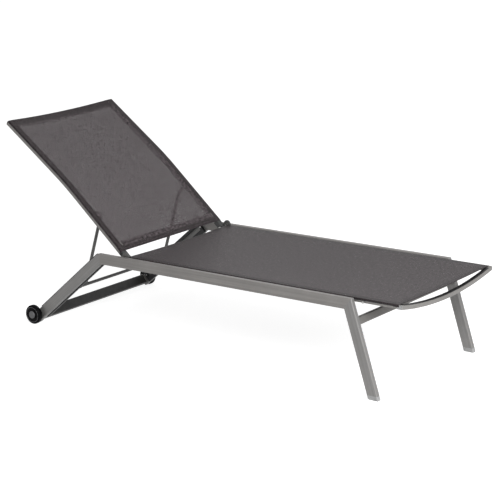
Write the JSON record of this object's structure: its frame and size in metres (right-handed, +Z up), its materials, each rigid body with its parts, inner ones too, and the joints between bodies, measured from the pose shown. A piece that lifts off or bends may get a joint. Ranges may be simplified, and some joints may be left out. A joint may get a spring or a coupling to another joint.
{
  "type": "reclining sun lounger",
  "caption": "Low reclining sun lounger with a mesh seat and backrest on a metal frame, a toothed prop under the backrest and small wheels at the head end.",
  "frame": {"origin": "on the floor under the middle of the lounger's overall length and width", "axes": "+X towards the foot end, +Y from one side to the other, +Z up"},
  "size_m": [1.8102, 0.713, 0.7841],
  "materials": {
    "frame_coating": "fine satin powder coat, warm grey",
    "prop_coating": "satin powder coat, mid grey",
    "dark_coating": "satin powder coat, charcoal",
    "mesh": "woven coated mesh, dark grey",
    "edging": "matt black edging",
    "black_plastic": "matt black moulded plastic",
    "grey_plastic": "matt grey moulded plastic",
    "tyre": "matt black soft tread",
    "steel": "plain zinc-plated steel"
  },
  "bodies": {
    "frame": {"foot_bow": "frame_coating", "foot_bow_plug_far": "grey_plastic", "foot_bow_plug_near": "grey_plastic", "foot_bow_trim": "edging", "foot_cap_far": "grey_plastic", "foot_cap_near": "grey_plastic", "front_cross_bar": "frame_coating", "front_leg_far": "frame_coating", "front_leg_near": "frame_coating", "hinge_bolt_far": "steel", "hinge_bolt_near": "steel", "hinge_plate_far": "frame_coating", "hinge_plate_near": "frame_coating", "hinge_rivets": "steel", "hinge_spacer_far": "steel", "hinge_spacer_near": "steel", "rack_far": "black_plastic", "rack_near": "black_plastic", "rack_rivets": "steel", "rear_cross_bar": "dark_coating", "rear_leg_far": "frame_coating", "rear_leg_near": "frame_coating", "rear_leg_plug_far": "black_plastic", "rear_leg_plug_near": "black_plastic", "seat_head_tube": "frame_coating", "seat_keder_far": "edging", "seat_keder_near": "edging", "seat_screws": "steel", "seat_side_tube_far": "frame_coating", "seat_side_tube_near": "frame_coating", "seat_sling": "mesh", "seat_spacers": "steel", "side_rail_far": "frame_coating", "side_rail_near": "frame_coating", "wheel_axle_far": "steel", "wheel_axle_near": "steel", "wheel_washer_far": "steel", "wheel_washer_near": "steel"},
    "backrest": {"back_bottom_tube": "frame_coating", "back_keder_far": "edging", "back_keder_near": "edging", "back_side_tube_far": "frame_coating", "back_side_tube_near": "frame_coating", "back_sling": "mesh", "back_top_tube": "frame_coating", "back_tube_plug_far": "black_plastic", "back_tube_plug_near": "black_plastic", "prop_bush_far": "black_plastic", "prop_bush_near": "black_plastic"},
    "prop": {"prop_base_rod": "prop_coating", "prop_leg_far": "prop_coating", "prop_leg_near": "prop_coating", "prop_sleeve_far": "black_plastic", "prop_sleeve_near": "black_plastic"},
    "wheel_near": {"hub_cap_near": "grey_plastic", "wheel_body_near": "black_plastic", "wheel_tyre_near": "tyre"},
    "wheel_far": {"hub_cap_far": "grey_plastic", "wheel_body_far": "black_plastic", "wheel_tyre_far": "tyre"}
  },
  "joints": [
    {"name": "backrest_recline", "type": "hinge", "parent": "frame", "child": "backrest", "pos_m": [-0.30849, 0, 0.3177], "axis": [0, 1, 0], "range_deg": [-41, 24]},
    {"name": "prop_swing", "type": "hinge", "parent": "backrest", "child": "prop", "pos_m": [-0.48045, 0, 0.46375], "axis": [0, 1, 0], "range_deg": [-30, 51]},
    {"name": "wheel_near_spin", "type": "hinge", "parent": "frame", "child": "wheel_near", "pos_m": [-0.75575, -0.341, 0.0375], "axis": [0, 1, 0], "continuous": true},
    {"name": "wheel_far_spin", "type": "hinge", "parent": "frame", "child": "wheel_far", "pos_m": [-0.75575, 0.341, 0.0375], "axis": [0, 1, 0], "continuous": true}
  ],
  "couplings": [
    {"joint": "prop_swing", "follows": "backrest_recline", "ratio": -1.24}
  ]
}
